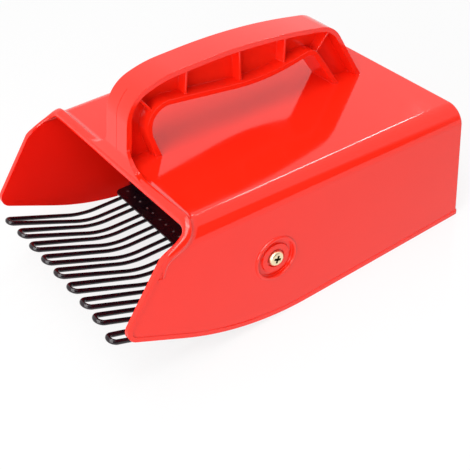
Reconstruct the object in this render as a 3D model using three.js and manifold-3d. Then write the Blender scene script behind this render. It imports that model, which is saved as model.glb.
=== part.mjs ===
// Hand rake for picking berries: a one-piece moulded shell with a bow handle, a folded
// steel pan with nine hairpin tines under its front edge, and two side screws.
// Units are millimetres. X is the width, the mouth looks along -Y and Z is up.
// Lengths along Y are counted from the lip's front face until the last step.

import * as THREE from 'three';
import { mergeVertices } from 'three/addons/utils/BufferGeometryUtils.js';
import Module from 'manifold-3d';

const wasm = await Module();
wasm.setup();

// Shell
const shellLength = 163.8;
const mouthHalfWidth = 65;
const rearHalfWidth = 68.7;
const frontHeight = 76.1;
const rearHeight = 66.8;
const draftShare = 0.0277;
const wall = 2.5;
const topRound = 9.8;

// Side outline of the mouth, from the lip to the belly
const lipDrop = 2.6;
const shoulderReach = 15.6;
const shoulderHeight = 67.1;
const shoulderRound = 10;
const tipReach = 41.7;
const tipHeight = 34.5;
const tipRound = 6;
const bellyStart = 21.8;
const bellyRound = 150;

// Rim that runs round every open edge
const rimProud = 0.5;
const lipRise = 2;
const lipWidth = 5.6;
const cheekWidth = 4.4;
const frontRimWidth = 2.3;
const bottomRimWidth = 2.5;

// Outer outline of the bow handle, its crown above the lip and its heights counted down from there
const bowRise = 39.4;
const handleWidth = 18.4;
const flange = 2.7;
const web = 3;
const legFront = 1.5;
const legLean = 6.5;
const frontDrop = 5.3;
const frontRound = 18;
const crownStart = 27.8;
const crownStartRound = 60;
const crownEnd = 81.2;
const crownEndDrop = 1;
const crownEndRound = 312;
const bowRear = 130;
const bowRearDrop = 12.5;
const bowRearRound = 18;
const bowFoot = 148.6;

// Opening under the bow, counted inwards from the outer outline's corners
const frontFootDepth = 20.5;
const waistDepth = 16.7;
const waistDrop = 26.5;
const waistRound = 14;
const frontDepth = 12.8;
const frontGripDrop = 8.7;
const frontGripRound = 10;
const middleGrip = 84.6;
const middleGripDrop = 25.5;
const middleGripRound = 117;
const rearDepth = 14.9;
const rearGripDrop = 10.1;
const rearGripRound = 5;
const rearFootDepth = 17.9;

// Ribs across the bow's pockets: place, distance below the crown and lean of each
const rib = 1.4;
const ribSetback = 2;
const ribReach = 13;
const ribPlaces = [18.1, 41, 71.9, 99.3, 123.6];
const ribDrops = [11.7, 9.5, 13.1, 15.2, 20.3];
const ribLeans = [-32, 10, 3, 7, 44].map((angle) => THREE.MathUtils.degToRad(angle));

// Sweeps where the front leg runs out into the lip
const sweepRound = 9;
const sweepReach = 20;

// Ring boss and screw, on both side walls
const bossLength = 42.7;
const bossHeight = 35.9;
const ringRadius = 12;
const ringWidth = 1.6;
const ringProud = 0.7;
const troughDepth = 0.9;
const collarRadius = 7.8;
const sinkRadius = 4.8;
const sinkDepth = 1.2;
const screwRadius = 2;
const screwLength = 9.5;
const headRadius = 4;
const headHeight = 2.4;
const headEdgeShare = 0.35;
const headDomeShare = 0.8;
const crossLength = 4.4;
const crossWidth = 1;
const crossDepth = 1.4;
const washerRadius = 4.5;
const washerHeight = 0.8;
const nutRadius = 4;
const nutHeight = 3.2;

// Steel pan
const sheet = 1.2;
const panFront = 25.2;
const panFrontHeight = 9.8;
const panBend = 47;
const panBendRound = 12;
const panFloor = 74;
const panFloorHeight = 2;
const panFloorRound = 20;
const tongueHalfWidth = 62;
const tongueRound = 3.5;
const hemHeight = 13;
const hemRound = 3;
const sideHeight = 9;
const earRadius = 9;
const earFoot = 17;
const earStart = 37;
const pegRadius = 2.2;
const pegSpacing = 70;
const pegHeight = 8;
const pegReach = 3.4;

// Hairpin tines
const tineCount = 9;
const tinePitch = 13.3;
const tineGauge = 7.5;
const tineTipGauge = 6.4;
const wireRadius = 1.05;
const tineTail = 46;
const tineSlope = THREE.MathUtils.degToRad(3.5);
const tineRise = THREE.MathUtils.degToRad(26);
const tineBendRound = 45;
const tineBend = 0.8;
const tineTip = 41.8;

// Fits
const clearance = 0.3;
const overrun = 4;
const arcSteps = 10;
const wireSides = 8;
const edgeShare = 0.98;

const bowHeight = frontHeight + bowRise;
const topSlope = (frontHeight - rearHeight) / shellLength;
const topAt = (y) => frontHeight - topSlope * y;
const spread = (rearHalfWidth - mouthHalfWidth) / shellLength;
const flareAt = (y, z) => spread * y + draftShare * (topAt(y) - z);
const mirrored = [-1, 1];

// Closed manifold from a three.js geometry, and back
function solid(geometry) {
  const bare = geometry.clone();
  bare.deleteAttribute('normal');
  bare.deleteAttribute('uv');
  const merged = mergeVertices(bare);
  const mesh = new wasm.Mesh({
    numProp: 3,
    vertProperties: Float32Array.from(merged.attributes.position.array),
    triVerts: Uint32Array.from(merged.index.array),
  });
  return new wasm.Manifold(mesh);
}

function toGeometry(manifold) {
  const mesh = manifold.getMesh();
  const geometry = new THREE.BufferGeometry();
  geometry.setAttribute('position', new THREE.BufferAttribute(mesh.vertProperties, 3));
  geometry.setIndex(new THREE.BufferAttribute(mesh.triVerts, 1));
  const flat = geometry.toNonIndexed();
  flat.computeVertexNormals();
  return flat;
}

// Points of an outline whose corners are [a, b, rounding radius]. Roundings that would
// meet on a short edge shrink alike.
function rounded(corners, closed = true) {
  const count = corners.length;
  const places = corners.map(([a, b]) => new THREE.Vector2(a, b));
  const bends = corners.map(([, , radius = 0], i) => {
    const u = places[(i + count - 1) % count].clone().sub(places[i]);
    const v = places[(i + 1) % count].clone().sub(places[i]);
    const half = u.angleTo(v) / 2;
    const free = !closed && (i === 0 || i === count - 1);
    return { u, v, half, reach: free ? 0 : radius / Math.tan(half) };
  });
  return bends.flatMap(({ u, v, half, reach: wanted }, i) => {
    const before = wanted + bends[(i + count - 1) % count].reach;
    const after = wanted + bends[(i + 1) % count].reach;
    const fit = Math.min(1, edgeShare * u.length() / before, edgeShare * v.length() / after);
    if (!wanted || Math.cos(half) === 0) return [places[i]];
    const reach = wanted * fit;
    const r = reach * Math.tan(half);
    const start = places[i].clone().add(u.clone().setLength(reach));
    const middle = places[i].clone().add(
      u.clone().normalize().add(v.clone().normalize()).setLength(r / Math.sin(half)));
    const first = start.clone().sub(middle).angle();
    const turn = Math.sign(u.cross(v)) * (Math.PI - 2 * half);
    const steps = Math.max(2, Math.ceil(arcSteps * Math.abs(turn) / (Math.PI / 2)));
    return Array.from({ length: steps + 1 }, (_, k) => {
      const angle = first - turn * k / steps;
      return new THREE.Vector2(Math.cos(angle), Math.sin(angle)).multiplyScalar(r).add(middle);
    });
  });
}

// Corners moved inwards (the outline runs anticlockwise), one distance for each edge
function inset(corners, distances) {
  const count = corners.length;
  const edges = corners.map((corner, i) => {
    const next = corners[(i + 1) % count];
    const along = new THREE.Vector2(next[0] - corner[0], next[1] - corner[1]).normalize();
    const inward = new THREE.Vector2(-along.y, along.x).multiplyScalar(distances[i]);
    return { start: new THREE.Vector2(corner[0], corner[1]).add(inward), along };
  });
  return corners.map(([, , radius = 0], i) => {
    const a = edges[(i + count - 1) % count];
    const b = edges[i];
    const gap = b.start.clone().sub(a.start);
    const t = gap.cross(b.along) / a.along.cross(b.along);
    const corner = a.start.clone().addScaledVector(a.along, t);
    const convex = a.along.cross(b.along) > 0;
    const change = (distances[i] + distances[(i + count - 1) % count]) / 2;
    return [corner.x, corner.y, radius ? Math.max(radius + (convex ? -change : change), 0) : 0];
  });
}

// Strip of sheet that follows an open centre line
function strip(corners, thickness) {
  const line = rounded(corners, false);
  const sides = [[], []];
  line.forEach((point, i) => {
    const before = line[Math.max(i - 1, 0)];
    const after = line[Math.min(i + 1, line.length - 1)];
    const a = point.clone().sub(before);
    const b = after.clone().sub(point);
    const along = (i === 0 ? b : i === line.length - 1 ? a : a.normalize().add(b.normalize())).normalize();
    const out = new THREE.Vector2(-along.y, along.x).multiplyScalar(thickness / 2);
    sides[0].push(point.clone().add(out));
    sides[1].unshift(point.clone().sub(out));
  });
  return [...sides[0], ...sides[1]];
}

function extrude(points, depth) {
  return new THREE.ExtrudeGeometry(new THREE.Shape(points), { depth, bevelEnabled: false });
}

// Outline in Y and Z, drawn out along X between two places
function slab(points, from, to) {
  const turn = new THREE.Matrix4().makeBasis(
    new THREE.Vector3(0, 1, 0), new THREE.Vector3(0, 0, 1), new THREE.Vector3(1, 0, 0));
  return solid(extrude(points, to - from).applyMatrix4(turn).translate(from, 0, 0));
}

// Tapered tunnel under the shell's roof, as wide and high as its surface less an inset
function tunnel(sideInset, topInset, rear, round) {
  const half = mouthHalfWidth - sideInset;
  const top = frontHeight - topInset;
  const low = -frontHeight / 2;
  const section = rounded([[-half, low], [half, low], [half, top, round], [-half, top, round]]);
  const front = -tipReach - overrun;
  const geometry = extrude(section, rear - front).rotateX(Math.PI / 2).translate(0, rear, 0);
  const place = geometry.attributes.position;
  for (let i = 0; i < place.count; i++) {
    const y = place.getY(i);
    const z = place.getZ(i) - topSlope * y;
    place.setX(i, place.getX(i) * (mouthHalfWidth + flareAt(y, z)) / mouthHalfWidth);
    place.setZ(i, z);
  }
  return solid(geometry);
}

// Side outline of the shell, anticlockwise from the rear foot
function sideCorners(raise) {
  return [
    [shellLength + overrun, 0],
    [shellLength + overrun, topAt(shellLength + overrun) + raise],
    [0, frontHeight + raise],
    [0, frontHeight - lipDrop],
    [-shoulderReach, shoulderHeight, shoulderRound],
    [-tipReach, tipHeight, tipRound],
    [bellyStart, 0, bellyRound],
  ];
}

// Frame on a side wall: +Z points out of the wall at the given height and length
function wallFrame(side, y, z, inwards) {
  const normal = new THREE.Vector3(side, -spread + draftShare * topSlope, draftShare).normalize();
  const x = side * (mouthHalfWidth + flareAt(y, z));
  const turn = new THREE.Quaternion().setFromUnitVectors(new THREE.Vector3(0, 0, 1), normal);
  const place = new THREE.Vector3(x, y, z).addScaledVector(normal, -inwards);
  return new THREE.Matrix4().compose(place, turn, new THREE.Vector3(1, 1, 1));
}

// Round solid on a wall frame, from pairs of radius and height
function turned(pairs, frame) {
  const profile = pairs.map(([radius, height]) => new THREE.Vector2(radius, height));
  profile.push(profile[0].clone());
  const lathe = new THREE.LatheGeometry(profile, arcSteps * 4).rotateX(Math.PI / 2);
  return solid(lathe.applyMatrix4(frame));
}

function bowCorners() {
  return [
    [legFront, frontHeight - wall / 2],
    [bowFoot, topAt(bowFoot) - wall / 2],
    [bowRear, bowHeight - bowRearDrop, bowRearRound],
    [crownEnd, bowHeight - crownEndDrop, crownEndRound],
    [crownStart, bowHeight, crownStartRound],
    [legFront + legLean, bowHeight - frontDrop, frontRound],
  ];
}

function gripCorners() {
  const front = legFront + frontFootDepth;
  const rear = bowFoot - rearFootDepth;
  return [
    [front, topAt(front) - wall],
    [rear, topAt(rear) - wall],
    [bowRear - rearDepth, bowHeight - bowRearDrop - rearGripDrop, rearGripRound],
    [middleGrip, bowHeight - crownEndDrop - middleGripDrop, middleGripRound],
    [legFront + legLean + frontDepth, bowHeight - frontDrop - frontGripDrop, frontGripRound],
    [legFront + waistDepth, bowHeight - waistDrop, waistRound],
  ];
}

function makeRibs() {
  const half = handleWidth / 2 - ribSetback;
  return ribPlaces.map((place, i) => {
    const middle = new THREE.Vector2(place, bowHeight - ribDrops[i]);
    const along = new THREE.Vector2(Math.sin(ribLeans[i]), Math.cos(ribLeans[i]));
    const ends = [-ribReach, ribReach].map((reach) => middle.clone().addScaledVector(along, reach));
    return slab(strip(ends.map((end) => [end.x, end.y]), rib).reverse(), -half, half);
  });
}

// The bow: two flanges joined by a web, with ribs in the pockets beside it
function makeHandle() {
  const half = handleWidth / 2;
  const bow = bowCorners();
  const grip = gripCorners();
  const bowInset = inset(bow, [-overrun, flange, flange, flange, flange, flange]);
  const gripOutset = inset(grip, [overrun, -flange, -flange, -flange, -flange, -flange]);
  const block = slab(rounded(bow), -half, half);
  const opening = slab(rounded(grip), -half - overrun, half + overrun);
  const rim = slab(rounded(gripOutset), -half - overrun, half + overrun);
  const pocket = slab(rounded(bowInset), web / 2, half + overrun).subtract(rim);
  const otherPocket = slab(rounded(bowInset), -half - overrun, -web / 2).subtract(rim);
  let handle = block.subtract(pocket).subtract(otherPocket);
  for (const plate of makeRibs()) handle = handle.add(plate.intersect(block));
  return handle.subtract(opening);
}

// Sweep on each side of the front leg, where its flange runs out into the lip
function makeSweeps() {
  const half = handleWidth / 2;
  const foot = frontHeight - wall / 2;
  const base = frontHeight + lipRise;
  const lean = legLean / (bowHeight - frontDrop - foot);
  return mirrored.map((side) => {
    const corners = [
      [half - flange, foot],
      [half + sweepReach, foot],
      [half + sweepReach, base],
      [half, base, sweepRound],
      [half, base + sweepRound + wall],
      [half - flange, base + sweepRound + wall],
    ];
    const outline = rounded(corners).map((point) => new THREE.Vector2(side * point.x, point.y));
    if (side < 0) outline.reverse();
    const plate = extrude(outline, flange).rotateX(Math.PI / 2).translate(0, legFront + flange, 0);
    const place = plate.attributes.position;
    for (let i = 0; i < place.count; i++) {
      place.setY(i, place.getY(i) + lean * (place.getZ(i) - foot));
    }
    return solid(plate);
  });
}

function makeShell() {
  const inner = tunnel(wall, wall, shellLength - wall, topRound - wall);
  const outer = tunnel(0, 0, shellLength, topRound);
  const proud = tunnel(-rimProud, -lipRise, shellLength + rimProud, topRound + rimProud);
  const reach = rearHalfWidth + frontHeight;
  const side = slab(rounded(sideCorners(0)), -reach, reach);
  const raised = sideCorners(lipRise + overrun);
  const widths = [-overrun, -overrun, lipWidth, cheekWidth, frontRimWidth, bottomRimWidth, bottomRimWidth];
  const kept = slab(rounded(inset(raised, widths)), -reach - overrun, reach + overrun);
  const band = slab(rounded(raised), -reach, reach).subtract(kept);
  let shell = outer.intersect(side).add(proud.intersect(band)).subtract(inner);
  shell = shell.add(makeHandle());
  for (const sweep of makeSweeps()) shell = shell.add(sweep);
  for (const s of mirrored) {
    const frame = wallFrame(s, bossLength, bossHeight, 0);
    const ringInner = ringRadius - ringWidth;
    shell = shell
      .add(turned([[ringInner, -wall / 2], [ringRadius, -wall / 2], [ringRadius, ringProud],
        [ringInner, ringProud]], frame))
      .subtract(turned([[collarRadius, -troughDepth], [ringInner, -troughDepth],
        [ringInner, overrun], [collarRadius, overrun]], frame))
      .subtract(turned([[0, -sinkDepth], [sinkRadius, -sinkDepth], [sinkRadius, overrun],
        [0, overrun]], frame))
      .subtract(turned([[0, -wall - overrun], [screwRadius + clearance, -wall - overrun],
        [screwRadius + clearance, overrun], [0, overrun]], frame));
    shell = shell.add(makePeg(s));
  }
  return shell;
}

// Peg on the rear wall's inner face that the pan's rear hem slides on to
function makePeg(side) {
  const reach = pegReach + wall / 2;
  const peg = new THREE.CylinderGeometry(pegRadius, pegRadius, reach, arcSteps * 2);
  return solid(peg.translate(side * pegSpacing / 2, shellLength - wall / 2 - reach / 2, pegHeight));
}

// Centre line of the pan's floor, from its front edge to the top of the rear hem
function floorLine() {
  const rear = shellLength - wall - clearance - sheet / 2;
  const bendHeight = panFrontHeight - Math.tan(tineSlope) * (panBend - panFront);
  return [
    [panFront, panFrontHeight],
    [panBend, bendHeight, panBendRound],
    [panFloor, panFloorHeight + sheet / 2, panFloorRound],
    [rear, panFloorHeight + sheet / 2, hemRound],
    [rear, hemHeight],
  ];
}

// Side flange of the pan: an ear round the screw, then low along its length
function flangeCorners() {
  const [front, bend, floor, rear] = floorLine();
  const ear = bossHeight + earRadius;
  const low = panFloorHeight + sideHeight;
  return [
    [earStart, front[1] - Math.tan(tineSlope) * (earStart - panFront)],
    bend,
    floor,
    [rear[0], rear[1]],
    [rear[0], low],
    [bossLength + earFoot, low, earRadius],
    [bossLength + earRadius, ear, earRadius],
    [bossLength - earRadius, ear, earRadius],
  ];
}

// Plan outline of the pan: a narrower front tongue, then the full width from the ears back
function panPlan(reach) {
  return [
    [-tongueHalfWidth, panFront, tongueRound],
    [tongueHalfWidth, panFront, tongueRound],
    [tongueHalfWidth, earStart],
    [reach, earStart],
    [reach, shellLength],
    [-reach, shellLength],
    [-reach, earStart],
    [-tongueHalfWidth, earStart],
  ];
}

function makePan() {
  const rear = shellLength - wall - clearance;
  const outerInset = wall + clearance;
  const body = tunnel(outerInset, outerInset, rear, topRound - outerInset);
  const inside = tunnel(outerInset + sheet, outerInset + sheet, rear + overrun, topRound - outerInset - sheet);
  const reach = rearHalfWidth + frontHeight;
  const sides = body.subtract(inside).intersect(slab(rounded(flangeCorners()), -reach, reach));
  const floor = body.intersect(slab(strip(floorLine(), sheet).reverse(), -reach, reach));
  const plan = extrude(rounded(panPlan(reach)), frontHeight);
  let pan = sides.add(floor).intersect(solid(plan));
  for (const s of mirrored) {
    const frame = wallFrame(s, bossLength, bossHeight, outerInset);
    const hole = screwRadius + clearance;
    pan = pan.subtract(turned([[0, -overrun], [hole, -overrun], [hole, overrun], [0, overrun]], frame));
    const slot = new THREE.CylinderGeometry(pegRadius + clearance, pegRadius + clearance,
      overrun, arcSteps * 2);
    pan = pan.subtract(solid(slot.translate(s * pegSpacing / 2, rear - sheet / 2, pegHeight)));
  }
  return pan;
}

// Polyline path whose steps fall on its own points
class StationPath extends THREE.Curve {
  constructor(points) {
    super();
    this.points = points;
  }

  getPoint(t, target = new THREE.Vector3()) {
    const last = this.points.length - 1;
    const at = THREE.MathUtils.clamp(t, 0, 1) * last;
    const i = Math.min(Math.floor(at), last - 1);
    return target.lerpVectors(this.points[i], this.points[i + 1], at - i);
  }

  getPointAt(u, target) {
    return this.getPoint(u, target);
  }

  getTangentAt(u, target) {
    return this.getTangent(u, target);
  }
}

// Route of one leg in Y and Z, from its tail under the pan to the start of the loop
function legLine() {
  const height = panFrontHeight - sheet / 2 - clearance - wireRadius;
  const lineAt = (y) => height - Math.tan(tineSlope) * (y - panFront);
  const bendHeight = lineAt(tineBend);
  const front = wireRadius - tineTip + (tineTipGauge / 2) * Math.cos(tineRise);
  const top = bendHeight + Math.tan(tineRise) * (tineBend - front);
  return rounded([
    [tineTail, lineAt(tineTail)],
    [tineBend, bendHeight, tineBendRound],
    [front, top],
  ], false);
}

function makeTine(x) {
  const line = legLine();
  const half = tineTipGauge / 2;
  const end = line[line.length - 1];
  const halfAt = (y) => THREE.MathUtils.mapLinear(Math.min(y, tineBend), tineBend, end.x, tineGauge / 2, half);
  const out = line.map((p) => new THREE.Vector3(x - halfAt(p.x), p.x, p.y));
  const loop = [];
  for (let k = 1; k < arcSteps; k++) {
    const angle = Math.PI * k / arcSteps;
    const ahead = half * Math.sin(angle);
    loop.push(new THREE.Vector3(x - half * Math.cos(angle),
      end.x - ahead * Math.cos(tineRise), end.y + ahead * Math.sin(tineRise)));
  }
  const back = line.map((p) => new THREE.Vector3(x + halfAt(p.x), p.x, p.y)).reverse();
  const path = new StationPath([...out, ...loop, ...back]);
  const section = new THREE.Shape();
  for (let k = 0; k < wireSides; k++) {
    const angle = 2 * Math.PI * k / wireSides;
    const point = [wireRadius * Math.cos(angle), wireRadius * Math.sin(angle)];
    if (k) section.lineTo(...point);
    else section.moveTo(...point);
  }
  return new THREE.ExtrudeGeometry(section, {
    steps: path.points.length - 1, extrudePath: path, bevelEnabled: false,
  });
}

// Pan-head screw with a cross recess, its head seated in the sink of the boss
function makeScrew(side) {
  const frame = wallFrame(side, bossLength, bossHeight, sinkDepth - clearance);
  const head = new THREE.LatheGeometry([
    new THREE.Vector2(0, -screwLength),
    new THREE.Vector2(screwRadius - clearance, -screwLength),
    new THREE.Vector2(screwRadius, clearance - screwLength),
    new THREE.Vector2(screwRadius, 0),
    new THREE.Vector2(headRadius, 0),
    new THREE.Vector2(headRadius, headHeight * headEdgeShare),
    new THREE.Vector2(headRadius * headDomeShare, headHeight * headDomeShare),
    new THREE.Vector2(headRadius / 2, headHeight),
    new THREE.Vector2(0, headHeight),
  ], arcSteps * 3).rotateX(Math.PI / 2);
  const deep = headHeight - crossDepth / 2;
  const bar = new THREE.BoxGeometry(crossLength, crossWidth, crossDepth + clearance);
  const slot = solid(bar.clone().translate(0, 0, deep + clearance / 2));
  const crossing = solid(bar.clone().rotateZ(Math.PI / 2).translate(0, 0, deep + clearance / 2));
  const screw = solid(head).subtract(slot).subtract(crossing);
  return toGeometry(screw).applyMatrix4(frame);
}

function makeWasher(side) {
  const inwards = wall + clearance + sheet + clearance;
  const hole = screwRadius + clearance;
  return turned([[hole, -washerHeight], [washerRadius, -washerHeight], [washerRadius, 0], [hole, 0]],
    wallFrame(side, bossLength, bossHeight, inwards));
}

function makeNut(side) {
  const inwards = wall + clearance + sheet + clearance + washerHeight + clearance;
  const frame = wallFrame(side, bossLength, bossHeight, inwards);
  const hex = new THREE.CylinderGeometry(nutRadius, nutRadius, nutHeight, 6).rotateX(Math.PI / 2);
  const hole = screwRadius + clearance;
  return solid(hex.translate(0, 0, -nutHeight / 2).applyMatrix4(frame))
    .subtract(turned([[0, -nutHeight - overrun], [hole, -nutHeight - overrun], [hole, overrun],
      [0, overrun]], frame));
}

const finishes = {
  plastic: { color: 0xdb1410, roughness: 0.22, metalness: 0 },
  coated: { color: 0x0d0c0d, roughness: 0.35, metalness: 0.1 },
  yellow: { color: 0xd8c48a, roughness: 0.3, metalness: 1 },
  zinc: { color: 0xb4b6b8, roughness: 0.35, metalness: 1 },
};

const rake = new THREE.Group();

function place(name, geometry, finish) {
  const mesh = new THREE.Mesh(geometry, new THREE.MeshStandardMaterial(finishes[finish]));
  mesh.name = name;
  rake.add(mesh);
}

place('shell', toGeometry(makeShell()), 'plastic');
place('comb_pan', toGeometry(makePan()), 'coated');
for (let i = 0; i < tineCount; i++) {
  place(`tine_${i + 1}`, makeTine((i - (tineCount - 1) / 2) * tinePitch), 'coated');
}
for (const side of mirrored) {
  const word = side < 0 ? 'left' : 'right';
  place(`screw_${word}`, makeScrew(side), 'yellow');
  place(`washer_${word}`, toGeometry(makeWasher(side)), 'zinc');
  place(`nut_${word}`, toGeometry(makeNut(side)), 'zinc');
}

// The origin is the middle of the footprint, on the surface that the rake stands on
const rearmost = shellLength + rimProud;
rake.position.y = (tineTip - rearmost) / 2;

export default rake;
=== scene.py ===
"""Looks of a berry picking rake: a red moulded scoop with a bow handle, a black comb pan and screws.

Sizes are millimetres. X is the width, and lengths along Y are counted from the lip's front face,
with the mouth looking along -Y. Meshes are written in metres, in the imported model's frame.
"""

from __future__ import annotations

import logging
import math
from collections.abc import Callable, Iterator
from contextlib import contextmanager
from dataclasses import dataclass
from enum import Enum

import bmesh
import bpy
from mathutils import Matrix, Vector


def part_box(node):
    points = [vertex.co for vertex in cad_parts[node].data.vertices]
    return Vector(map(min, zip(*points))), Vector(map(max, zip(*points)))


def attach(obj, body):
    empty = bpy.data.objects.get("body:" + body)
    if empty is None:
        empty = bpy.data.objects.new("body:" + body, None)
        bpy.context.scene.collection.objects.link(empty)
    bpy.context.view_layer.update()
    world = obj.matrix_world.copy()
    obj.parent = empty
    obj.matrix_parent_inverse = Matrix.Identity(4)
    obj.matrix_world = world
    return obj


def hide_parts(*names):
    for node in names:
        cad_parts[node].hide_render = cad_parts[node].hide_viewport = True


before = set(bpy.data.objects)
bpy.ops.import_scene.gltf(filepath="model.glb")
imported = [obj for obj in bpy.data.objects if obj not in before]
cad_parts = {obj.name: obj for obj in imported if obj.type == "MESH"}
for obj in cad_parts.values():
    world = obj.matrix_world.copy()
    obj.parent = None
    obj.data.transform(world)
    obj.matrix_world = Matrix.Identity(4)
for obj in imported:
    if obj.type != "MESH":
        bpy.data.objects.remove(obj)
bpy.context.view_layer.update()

LOG = logging.getLogger("rake")
MM = 0.001
BODY = "root"
TINE_REACH = 41.8
SHELL_REACH = 164.3
LIP_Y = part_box("shell")[1].y / MM - SHELL_REACH
OVERRUN = 4.0

Piece = bpy.types.Object
Socket = bpy.types.NodeSocket
Edge = bmesh.types.BMEdge
Colour = tuple[float, float, float]
Point = tuple[float, float]


class Join(Enum):
    """What a boolean modifier does with its tool."""

    ADD = "UNION"
    CUT = "DIFFERENCE"
    KEEP = "INTERSECT"


class Side(Enum):
    """The two side walls, by the sign of X."""

    LEFT = -1
    RIGHT = 1


class Slot(Enum):
    """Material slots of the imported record."""

    PLASTIC = "red_plastic"
    COAT = "black_coat"
    WIRE = "black_wire"
    YELLOW = "yellow_zinc"
    ZINC = "bright_zinc"


@dataclass(frozen=True)
class Corner:
    """A corner of an outline, with the radius that rounds it."""

    a: float
    b: float
    radius: float = 0.0


def spot(x: float, y: float, z: float) -> Vector:
    """Turns millimetres counted from the lip into a point of the frame, in metres."""
    return Vector((x, y + LIP_Y, z)) * MM


def rounded(corners: list[Corner], closed: bool = True, step: float = 6.0) -> list[Point]:
    """Draws an outline with true arcs at its rounded corners.

    Args:
        corners: The corners in order.
        closed: Whether the last corner joins the first.
        step: Largest turn of one arc piece, in degrees.

    Returns:
        The points of the outline.
    """
    count = len(corners)
    points: list[Point] = []
    for i, corner in enumerate(corners):
        here = Vector((corner.a, corner.b))
        if not corner.radius or (not closed and i in (0, count - 1)):
            points.append(tuple(here))
            continue
        before, after = corners[i - 1], corners[(i + 1) % count]
        u = (Vector((before.a, before.b)) - here).normalized()
        v = (Vector((after.a, after.b)) - here).normalized()
        half = u.angle(v) / 2
        start = here + u * corner.radius / math.tan(half)
        middle = here + (u + v).normalized() * corner.radius / math.sin(half)
        turn = -math.copysign(math.pi - 2 * half, u.x * v.y - u.y * v.x)
        pieces = max(2, math.ceil(abs(turn) / math.radians(step)),
                     math.ceil(abs(turn) * corner.radius / OVERRUN))
        arm = start - middle
        for k in range(pieces + 1):
            points.append(tuple(middle + Matrix.Rotation(turn * k / pieces, 2) @ arm))
    return points


def inset(corners: list[Corner], distances: list[float]) -> list[Corner]:
    """Moves each edge of an anticlockwise outline inwards.

    Args:
        corners: The corners in order.
        distances: How far the edge that starts at each corner moves.

    Returns:
        The corners of the smaller outline.
    """
    count = len(corners)
    starts, ways = [], []
    for i, corner in enumerate(corners):
        after = corners[(i + 1) % count]
        way = Vector((after.a - corner.a, after.b - corner.b)).normalized()
        starts.append(Vector((corner.a, corner.b)) + Vector((-way.y, way.x)) * distances[i])
        ways.append(way)
    moved = []
    for i, corner in enumerate(corners):
        way, last = ways[i], ways[i - 1]
        gap = starts[i] - starts[i - 1]
        turn = last.x * way.y - last.y * way.x
        place = starts[i - 1] + last * ((gap.x * way.y - gap.y * way.x) / turn)
        change = math.copysign(1, turn) * (distances[i] + distances[i - 1]) / 2
        radius = max(corner.radius - change, 0) if corner.radius else 0
        moved.append(Corner(place.x, place.y, radius))
    return moved


def pick(piece: Piece) -> None:
    """Makes a piece the only selected and active one.

    Args:
        piece: The piece.
    """
    bpy.ops.object.select_all(action="DESELECT")
    piece.select_set(True)
    bpy.context.view_layer.objects.active = piece


@contextmanager
def editing(piece: Piece, mode: str = "VERT") -> Iterator[None]:
    """Opens a piece in edit mode with nothing selected, and closes it again.

    Args:
        piece: The piece to edit.
        mode: Kind of element that is selected.
    """
    pick(piece)
    bpy.ops.object.mode_set(mode="EDIT")
    bpy.ops.mesh.select_mode(type=mode)
    bpy.ops.mesh.select_all(action="DESELECT")
    yield
    bpy.ops.object.mode_set(mode="OBJECT")


def mark(piece: Piece, kind: str, test: Callable[..., bool]) -> int:
    """Selects the elements of an edited mesh that pass a test.

    Args:
        piece: The piece, in edit mode.
        kind: verts, edges or faces.
        test: Says whether an element is wanted.

    Returns:
        How many were selected.
    """
    mesh = bmesh.from_edit_mesh(piece.data)
    wanted = [element for element in getattr(mesh, kind) if test(element)]
    for element in wanted:
        element.select_set(True)
    mesh.select_flush_mode()
    bmesh.update_edit_mesh(piece.data)
    return len(wanted)


def face_outwards() -> None:
    """Turns every face of the edited mesh outwards."""
    bpy.ops.mesh.select_all(action="SELECT")
    bpy.ops.mesh.normals_make_consistent(inside=False)


def bevel_marked(width: float, segments: int, **options: object) -> None:
    """Bevels the selected edges of the edited mesh.

    Args:
        width: Width of the rounding.
        segments: Number of strips in it.
        **options: Further settings of the operator.
    """
    bpy.ops.mesh.bevel(offset=width * MM, segments=segments, profile=0.5, affect="EDGES",
                       clamp_overlap=False, **options)


def new_piece(name: str) -> Piece:
    """Names the object that was just added.

    Args:
        name: Name of the piece and its mesh.

    Returns:
        The piece.
    """
    piece = bpy.context.active_object
    piece.name = name
    piece.data.name = name
    return piece


def primitive(name: str, add: Callable[..., object], **sizes: object) -> Piece:
    """Adds a primitive with nothing else selected.

    Args:
        name: Name of the piece and its mesh.
        add: Operator that adds it.
        **sizes: Settings of the operator.

    Returns:
        The piece.
    """
    bpy.ops.object.select_all(action="DESELECT")
    add(**sizes)
    return new_piece(name)


def outline(name: str, places: list[Vector], push: Vector) -> Piece:
    """Draws a flat outline and extrudes it to a solid.

    Args:
        name: Name of the piece.
        places: The outline's points, in metres.
        push: How far and which way it is extruded.

    Returns:
        The solid.
    """
    piece = primitive(name, bpy.ops.mesh.primitive_circle_add, vertices=len(places), radius=MM,
                      fill_type="NGON")
    for vertex, place in zip(piece.data.vertices, places):
        vertex.co = place
    with editing(piece):
        bpy.ops.mesh.select_all(action="SELECT")
        bpy.ops.mesh.extrude_region_move(TRANSFORM_OT_translate={"value": tuple(push)})
        face_outwards()
    return piece


def slab(name: str, points: list[Point], low: float, high: float) -> Piece:
    """Extrudes an outline in length and height across the width, from low to high along X."""
    return outline(name, [spot(low, y, z) for y, z in points], Vector(((high - low) * MM, 0, 0)))


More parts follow.
